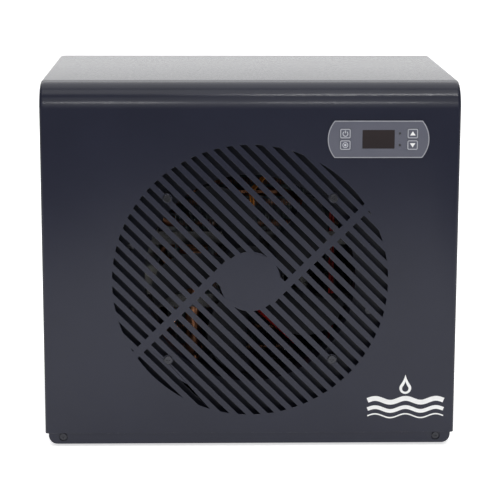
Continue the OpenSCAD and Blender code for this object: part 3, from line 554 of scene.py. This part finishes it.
def bezel_outline(g, n=40):
    """The bezel's own outline drawn in by g: flat top and bottom, and a wide arc at each end."""
    w, h, big = (bez_hi.x - bez_lo.x) / 2, (bez_hi.z - bez_lo.z) / 2 - g, 0.0295
    c, r = w - big, big - g
    a = math.degrees(math.asin(h / r))
    return arc(CX + c, CZ, r, -a, a, n) + arc(CX - c, CZ, r, 180 - a, 180 + a, n)


flat("bezel_rim_film", [bezel_outline(0.00004), bezel_outline(0.00106)],
     bez_lo.y - 0.00003, bez_lo.y + 0.00004, film("rim_film", (0.285, 0.290, 0.325)), "cabinet")
flat("window_border_print", [rrect(0.0344, 0.0206, 0.0010, CX, CZ), rrect(0.0332, 0.0194, 0.0004, CX, CZ)],
     face - 0.00003, face + 0.00004, film("window_border_film", (0.055, 0.055, 0.066)), "cabinet")
KEY = {}
for k in ("key_power", "key_mode", "key_up", "key_down"):
    lo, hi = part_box(k)
    c = ((lo.x + hi.x) / 2, (lo.z + hi.z) / 2)
    y = lo.y
    KEY[k] = (c, y)
    flat(k + "_outline", [rrect(0.0108, 0.0098, 0.0018, *c), rrect(0.0087, 0.0077, 0.0009, *c)],
         y - 0.00004, y + 0.00004, LIGHT_INK, k)
c, y = KEY["key_power"]
flat("key_power_ring", [arc(c[0], c[1] - 0.0002, 0.0029, 125, 415, 40) + arc(c[0], c[1] - 0.0002, 0.0021, 415, 125, 40)],
     y - 0.00005, y + 0.00004, ICON_INK, "key_power")
flat("key_power_bar", [rrect(0.0008, 0.0028, 0.0002, c[0], c[1] + 0.0018)],
     y - 0.00005, y + 0.00004, ICON_INK, "key_power")
c, y = KEY["key_mode"]
flat("key_mode_ring", [circle(c[0], c[1], 0.0029), circle(c[0], c[1], 0.0022)],
     y - 0.00005, y + 0.00004, ICON_INK, "key_mode")
flat("key_mode_dot", [circle(c[0], c[1], 0.0013, 24)], y - 0.00005, y + 0.00004, ICON_INK, "key_mode")
for k, s in (("key_up", 1), ("key_down", -1)):
    c, y = KEY[k]
    flat(k + "_arrow", [[(c[0] - 0.0028, c[1] - s * 0.0019), (c[0] + 0.0028, c[1] - s * 0.0019), (c[0], c[1] + s * 0.0024)][::s]],
         y - 0.00005, y + 0.00004, WHITE_INK, k)


# ------------------------------------------------------------------ plain generic mark on the front: a drop over three waves, no lettering
def drop(cx, cz, r):
    body = arc(cx, cz, r, -215, 35, 40)
    tip = (cx, cz + r * 2.35)
    a, b = body[-1], body[0]
    side = lambda p, q: [(p[0] + (q[0] - p[0]) * t + 0.10 * r * math.sin(math.pi * t) * (-1 if p[0] > cx or q[0] > cx else 1),
                          p[1] + (q[1] - p[1]) * t) for t in [i / 10 for i in range(1, 10)]]
    return body + side(a, tip) + [tip] + side(tip, b)


MX, MZ = pan_lo.x * 0 + CX + 0.0330, Z0 + 0.0505
mark = lambda name, loops: flat(name, loops, YF - 0.00006, YF + 0.00003, WHITE_INK, "cabinet")
mark("mark_drop", [drop(MX - 0.0005, MZ + 0.0092, 0.0062), drop(MX - 0.0005, MZ + 0.0087, 0.0034)])
for i, (zz, w, half) in enumerate(((MZ - 0.0040, 0.0052, 0.0400), (MZ - 0.0135, 0.0040, 0.0400), (MZ - 0.0208, 0.0014, 0.0400))):
    path = [(MX - half + 2 * half * t / 60, zz + 0.0021 * math.sin(2 * math.pi * 2.5 * t / 60)) for t in range(61)]
    mark("mark_wave_%d" % (i + 1), [stroke(path, w)])


# ------------------------------------------------------------------ fan, smooth
def impeller():
    hub_lo, hub_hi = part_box("fan_impeller")
    shaft_lo, shaft_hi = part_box("fan_shaft")
    ax, az = (shaft_lo.x + shaft_hi.x) / 2, (shaft_lo.z + shaft_hi.z) / 2
    yh = hub_lo.y
    bm = bmesh.new()
    # hub as a lathe about the axis: profile of (radius, y)
    R = 0.034
    prof = [(0.00405, 0.0), (0.012, 0.0), (R - 0.003, 0.0), (R - 0.0009, 0.0009), (R, 0.003), (R, 0.0285), (R - 0.0005, 0.029), (R - 0.0026, 0.029),
            (R - 0.003, 0.0286), (R - 0.0036, 0.0045), (R - 0.006, 0.003), (0.0105, 0.003), (0.009, 0.005), (0.0088, 0.0286), (0.0084, 0.029), (0.00405, 0.029)]
    n = 96
    rings = []
    for r, y in prof:
        rings.append([bm.verts.new((ax + r * math.cos(2 * math.pi * i / n), yh + y, az + r * math.sin(2 * math.pi * i / n))) for i in range(n)])
    for a, b in zip(rings, rings[1:] + rings[:1]):
        for i in range(n):
            bm.faces.new((a[i], a[(i + 1) % n], b[(i + 1) % n], b[i]))
    # ribs inside the hub
    for k in range(6):
        t = math.radians(60 * k)
        u, w = (math.cos(t), math.sin(t)), (-math.sin(t), math.cos(t))
        vs = []
        for y in (yh + 0.0026, yh + 0.0205):
            for r, s in ((0.0085, -1), (R - 0.0032, -1), (R - 0.0032, 1), (0.0085, 1)):
                vs.append(bm.verts.new((ax + r * u[0] + s * 0.001 * w[0], y, az + r * u[1] + s * 0.001 * w[1])))
        for q in ((0, 1, 2, 3), (7, 6, 5, 4), (0, 4, 5, 1), (1, 5, 6, 2), (2, 6, 7, 3), (3, 7, 4, 0)):
            bm.faces.new([vs[j] for j in q])
    # blades: the same law as the CAD's, at more stations and with a rounded section
    rs = [30, 42, 56, 70, 84, 96, 105]
    yc = yh + 0.014
    stations = 26
    for blade in range(5):
        turn = math.radians(-(360 * blade / 5 + 44))
        loops = []
        for st in range(stations + 1):
            f = 6 * st / stations
            i0 = min(5, int(f))
            r = (rs[i0] + (rs[i0 + 1] - rs[i0]) * (f - i0))
            if st == 0:
                r += 1.5
            pitch = math.radians(34 - 2 * f)
            chord = 36 + 7.2 * f - 0.25 * f ** 3
            th = max(1.5, 3.0 - 0.25 * f)
            lean = 1.2 * f * f / 2
            ring = []
            m = 22
            for j in range(m):
                q = 2 * math.pi * j / m
                s = 0.497 * math.cos(q)
                nn = math.sin(q) * 0.5 * (1 - 0.25 * math.cos(q))
                s *= chord
                nn *= th
                tip = 1.0
                if st == stations:
                    nn *= 0.55
                y = s * math.sin(pitch) + nn * math.cos(pitch)
                c = s * math.cos(pitch) - nn * math.sin(pitch)
                a = math.radians(lean) + c / r
                x, z = r * math.cos(a), r * math.sin(a)
                # the CAD turns the blade about Y by 360 i / 5 + 44 degrees
                ct, sn = math.cos(turn), math.sin(turn)
                xx, zz = x * ct - z * sn, x * sn + z * ct
                ring.append(bm.verts.new((ax + xx * MM, yc + y * MM, az + zz * MM)))
            loops.append(ring)
        for a, b in zip(loops, loops[1:]):
            for j in range(m):
                bm.faces.new((a[j], a[(j + 1) % m], b[(j + 1) % m], b[j]))
        bm.faces.new(loops[0][::-1])
        bm.faces.new(loops[-1])
    bmesh.ops.recalc_face_normals(bm, faces=bm.faces)
    sharpen(bm, 42)
    ob = object_of("fan_impeller_moulding", bm)
    return settle(ob, M["fan_plastic"], "fan", "fan_impeller")


impeller()


# ------------------------------------------------------------------ coil guard of round wire, and the coil's thin fins
def tube(bm, a, b, r, n=10, caps=True):
    a, b = Vector(a), Vector(b)
    d = (b - a).normalized()
    u = d.orthogonal().normalized()
    w = d.cross(u)
    ends = []
    for p, s in ((a, 1), (b, -1)):
        ends.append([bm.verts.new(p + (u * math.cos(2 * math.pi * i / n) + w * math.sin(2 * math.pi * i / n)) * r) for i in range(n)])
    for i in range(n):
        bm.faces.new((ends[0][i], ends[0][(i + 1) % n], ends[1][(i + 1) % n], ends[1][i]))
    if caps:
        bm.faces.new(ends[0][::-1])
        bm.faces.new(ends[1])


def guard():
    lo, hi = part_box("rear_coil_guard")
    bm = bmesh.new()
    n, m = 18, 7
    yv, yh = lo.y + 0.0010, lo.y + 0.00225
    for i in range(1, n):
        x = lo.x + (hi.x - lo.x) * i / n
        tube(bm, (x, yv, lo.z + 0.0045), (x, yv, hi.z - 0.0045), 0.00088)
    for i in range(1, m):
        z = lo.z + (hi.z - lo.z) * i / m
        tube(bm, (lo.x + 0.0045, yh, z), (hi.x - 0.0045, yh, z), 0.00074)
    # rounded strip round the edge
    cx, cz, w, h = (lo.x + hi.x) / 2, (lo.z + hi.z) / 2, hi.x - lo.x, hi.z - lo.z
    shapes = []
    for inset, y in ((0.0004, lo.y), (0.0, lo.y + 0.0004), (0.0, lo.y + 0.0012), (0.0004, lo.y + 0.0016),
                     (0.0076, lo.y + 0.0016), (0.0080, lo.y + 0.0012), (0.0080, lo.y + 0.0004), (0.0076, lo.y)):
        shapes.append([bm.verts.new((x, y, z)) for x, z in rrect(w - 2 * inset, h - 2 * inset, 0.010 - inset * 0.5, cx, cz, 8)])
    for a, b in zip(shapes, shapes[1:] + shapes[:1]):
        for i in range(len(a)):
            bm.faces.new((a[i], a[(i + 1) % len(a)], b[(i + 1) % len(a)], b[i]))
    bmesh.ops.recalc_face_normals(bm, faces=bm.faces)
    sharpen(bm, 60)
    return settle(object_of("coil_guard_wires", bm), M["guard_coat"], "cabinet", "rear_coil_guard")


guard()


def fins():
    lo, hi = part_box("evaporator_fins")
    bm = bmesh.new()
    n = 150
    wave = 0.00096
    folds = 8
    for i in range(n + 1):
        x = lo.x + wave + (hi.x - lo.x - 0.00014 - 2 * wave) * i / n
        cols = []
        for j in range(folds + 1):
            y = lo.y + (hi.y - lo.y) * j / folds
            d = 0 if j in (0, folds) else (wave if j % 2 else -wave)
            cols.append([bm.verts.new((x + d + e, y, z)) for e in (0, 0.00014) for z in (lo.z, hi.z)])
        for a, b in zip(cols, cols[1:]):
            for q in ((0, 1), (1, 3), (3, 2), (2, 0)):
                bm.faces.new((a[q[0]], a[q[1]], b[q[1]], b[q[0]]))
        bm.faces.new((cols[0][0], cols[0][2], cols[0][3], cols[0][1]))
        bm.faces.new((cols[-1][0], cols[-1][1], cols[-1][3], cols[-1][2]))
    bmesh.ops.recalc_face_normals(bm, faces=bm.faces)
    return settle(object_of("coil_fins", bm), M["aluminium_fin"], "cabinet", "evaporator_fins")


fins()


# ------------------------------------------------------------------ stage: pale floor, white backdrop, soft light
def plain(name, color, rough=0.6, emit=0.0):
    m = Mat(name, color, rough, spec=0.2)
    m.vary_color(m.noise(1.2, 2), 0.995, 1.0)
    if emit:
        m.p.inputs["Emission Color"].default_value = (1, 1, 1, 1)
        m.p.inputs["Emission Strength"].default_value = emit
    return m.m


def plane(name, w, h, loc, rot, mat):
    bm = bmesh.new()
    bmesh.ops.create_grid(bm, x_segments=1, y_segments=1, size=0.5)
    for v in bm.verts:
        v.co.x *= w
        v.co.y *= h
    ob = object_of(name, bm)
    ob.location, ob.rotation_euler = loc, rot
    ob.data.materials.append(mat)
    ob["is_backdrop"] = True
    return ob


def area(name, w, h, loc, aim, power, color=(1, 1, 1), camera=False, spread=180):
    li = bpy.data.lights.new(name, "AREA")
    li.shape, li.size, li.size_y = "RECTANGLE", w, h
    li.energy, li.color = power, color
    li.spread = math.radians(spread)
    ob = bpy.data.objects.new(name, li)
    scene.collection.objects.link(ob)
    ob.location = loc
    ob.rotation_euler = (Vector(aim) - Vector(loc)).to_track_quat("-Z", "Y").to_euler()
    ob.visible_camera = camera
    return ob


world = bpy.data.worlds.new("studio")
scene.world = world
world.use_nodes = True
world.node_tree.nodes["Background"].inputs[0].default_value = (1.0, 1.0, 1.0, 1)
world.node_tree.nodes["Background"].inputs[1].default_value = 0.10

def floor_material():
    """Pale and evenly lit round the object, and unlit far out in front of it."""
    m = Mat("floor_pale", (0.9, 0.9, 0.9), 0.9, spec=0.1)
    sep = m.n("ShaderNodeSeparateXYZ", Vector=m.tc)
    fade = m.remap(sep.outputs["Y"], 0.0, 1.0, -3.1, -2.3)
    m.nt.nodes.active = m.p
    m.vary_color(m.noise(1.2, 2), 0.995, 1.0)
    mul = m.n("ShaderNodeMix", data_type="RGBA")
    m.link(fade, mul.inputs[0])
    mul.inputs[6].default_value = (0.03, 0.03, 0.03, 1)
    m.link(m.col, mul.inputs[7])
    m.link(mul.outputs[2], m.p.inputs["Base Color"])
    m.p.inputs["Emission Color"].default_value = (1, 1, 1, 1)
    m.link(m.times(fade, 0.62), m.p.inputs["Emission Strength"])
    return m.m


plane("floor", 12, 12, (0, 1.2, CAD_BOX[0].z - 0.0002), (0, 0, 0), floor_material())
plane("backdrop", 14, 7, (0, 6.2, 3.2), (math.radians(90), 0, 0), plain("backdrop_white", (0.4, 0.4, 0.4), 0.9, 0.94))
area("overhead", 3.4, 3.0, (0.0, 1.35, 2.4), (0, 1.2, 0), 50)
area("front_card", 5.5, 2.6, (0.0, -3.3, 1.95), (0, 0, 0.7), 43)
area("high_fill", 3.2, 0.9, (0.0, -0.78, 2.4), (0, -0.17, 0.36), 16)
area("strip_low_left", 0.55, 0.03, (-0.52, -2.45, 1.32), (-0.2, -0.17, 0.36), 4.0)
area("strip_low_right", 0.75, 0.03, (0.42, -2.45, 1.32), (0.2, -0.17, 0.36), 4.5)
area("strip_high_right", 0.8, 0.035, (0.42, -1.35, 2.35), (0.2, -0.17, 0.36), 7.5)

lo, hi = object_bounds()
